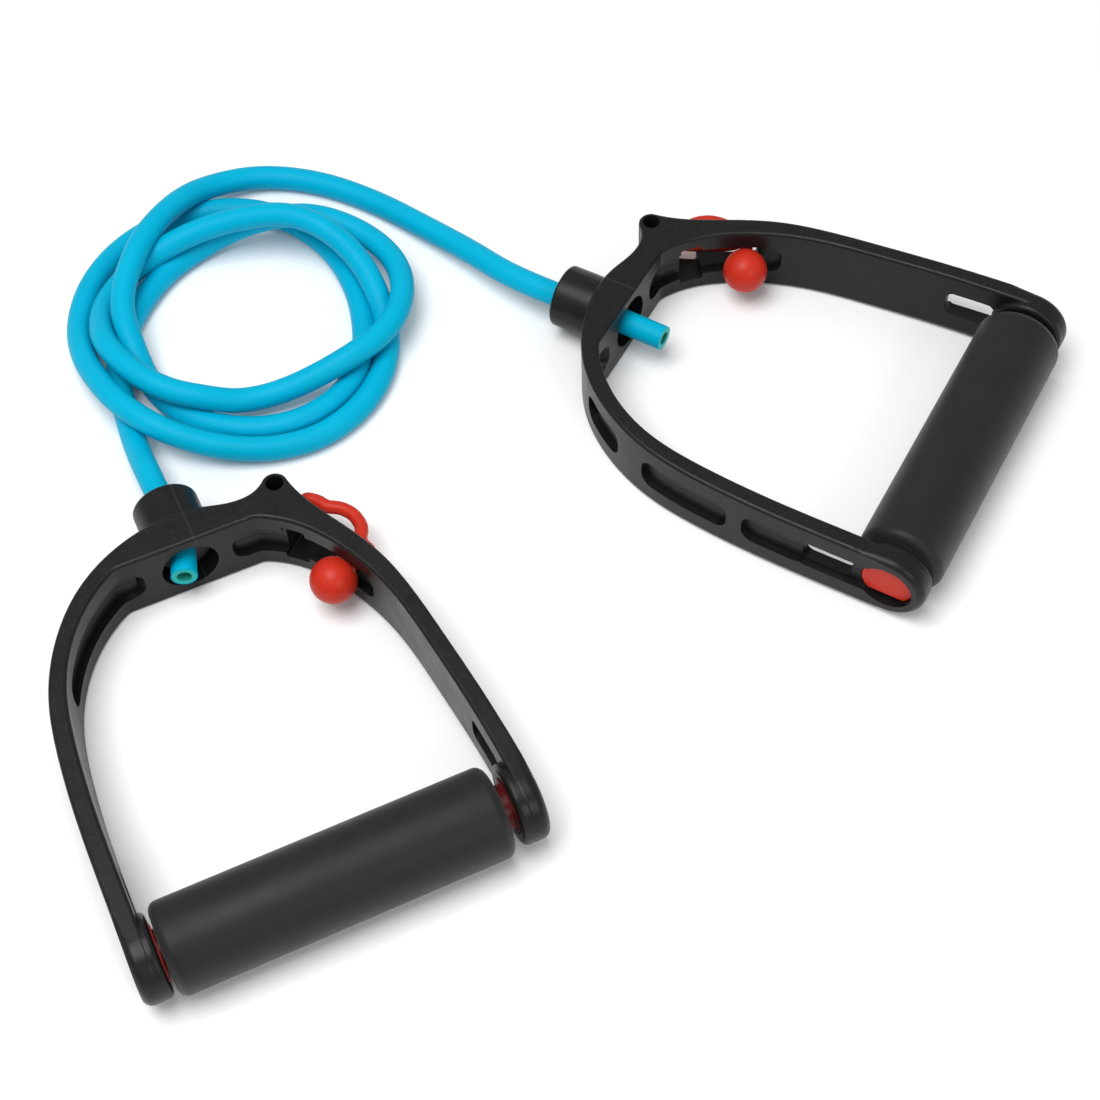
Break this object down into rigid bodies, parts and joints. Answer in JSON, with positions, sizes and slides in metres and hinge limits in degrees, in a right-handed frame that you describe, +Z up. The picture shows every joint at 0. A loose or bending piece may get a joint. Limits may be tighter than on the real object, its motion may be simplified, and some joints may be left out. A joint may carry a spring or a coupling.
{
  "type": "resistance band",
  "caption": "Latex exercise tube in a loose coil between two stirrup handles, each with a turning grip sleeve and a sliding ball toggle.",
  "frame": {"origin": "on the ground under the centre of the two handles", "axes": "+X right and +Y away as the pair is laid out for storage, +Z up"},
  "size_m": [0.3864, 0.3663, 0.032],
  "materials": {
    "frame_plastic": "fine-grained black moulded nylon, slight sheen on the rims",
    "grip_rubber": "smooth matt black rubber sleeve",
    "red_plastic": "satin orange-red moulded plastic",
    "tube_latex": "satin cyan-blue latex",
    "collet_plastic": "black nylon",
    "plug_plastic": "dark green plastic"
  },
  "bodies": {
    "stirrups_and_tube": {"left_frame": "frame_plastic", "left_grip_core": "red_plastic", "left_stud_plain_arm": "red_plastic", "left_stud_horn_arm": "red_plastic", "left_tube_collet": "collet_plastic", "left_tube_end": "tube_latex", "left_tube_plug": "plug_plastic", "right_frame": "frame_plastic", "right_grip_core": "red_plastic", "right_stud_plain_arm": "red_plastic", "right_stud_horn_arm": "red_plastic", "right_tube_collet": "collet_plastic", "right_tube_end": "tube_latex", "right_tube_plug": "plug_plastic", "tube_run_left": "tube_latex", "tube_coil": "tube_latex", "tube_run_right": "tube_latex"},
    "left_grip": {"left_grip_sleeve": "grip_rubber"},
    "left_toggle": {"left_toggle_ball": "red_plastic", "left_toggle_loop": "red_plastic"},
    "right_grip": {"right_grip_sleeve": "grip_rubber"},
    "right_toggle": {"right_toggle_ball": "red_plastic", "right_toggle_loop": "red_plastic"}
  },
  "joints": [
    {"name": "left_grip_turn", "type": "hinge", "parent": "stirrups_and_tube", "child": "left_grip", "pos_m": [-0.0874, -0.1203, 0.016], "axis": [0.9205, 0.3907, 0], "continuous": true},
    {"name": "left_toggle_slide", "type": "slide", "parent": "stirrups_and_tube", "child": "left_toggle", "axis": [-0.729, 0.6845, -0.009], "range_m": [-0.001, 0.004]},
    {"name": "right_grip_turn", "type": "hinge", "parent": "stirrups_and_tube", "child": "right_grip", "pos_m": [0.1373, 0.0424, 0.016], "axis": [0.5105, 0.8599, 0], "continuous": true},
    {"name": "right_toggle_slide", "type": "slide", "parent": "stirrups_and_tube", "child": "right_toggle", "axis": [-0.9927, 0.1201, -0.009], "range_m": [-0.001, 0.004]}
  ]
}
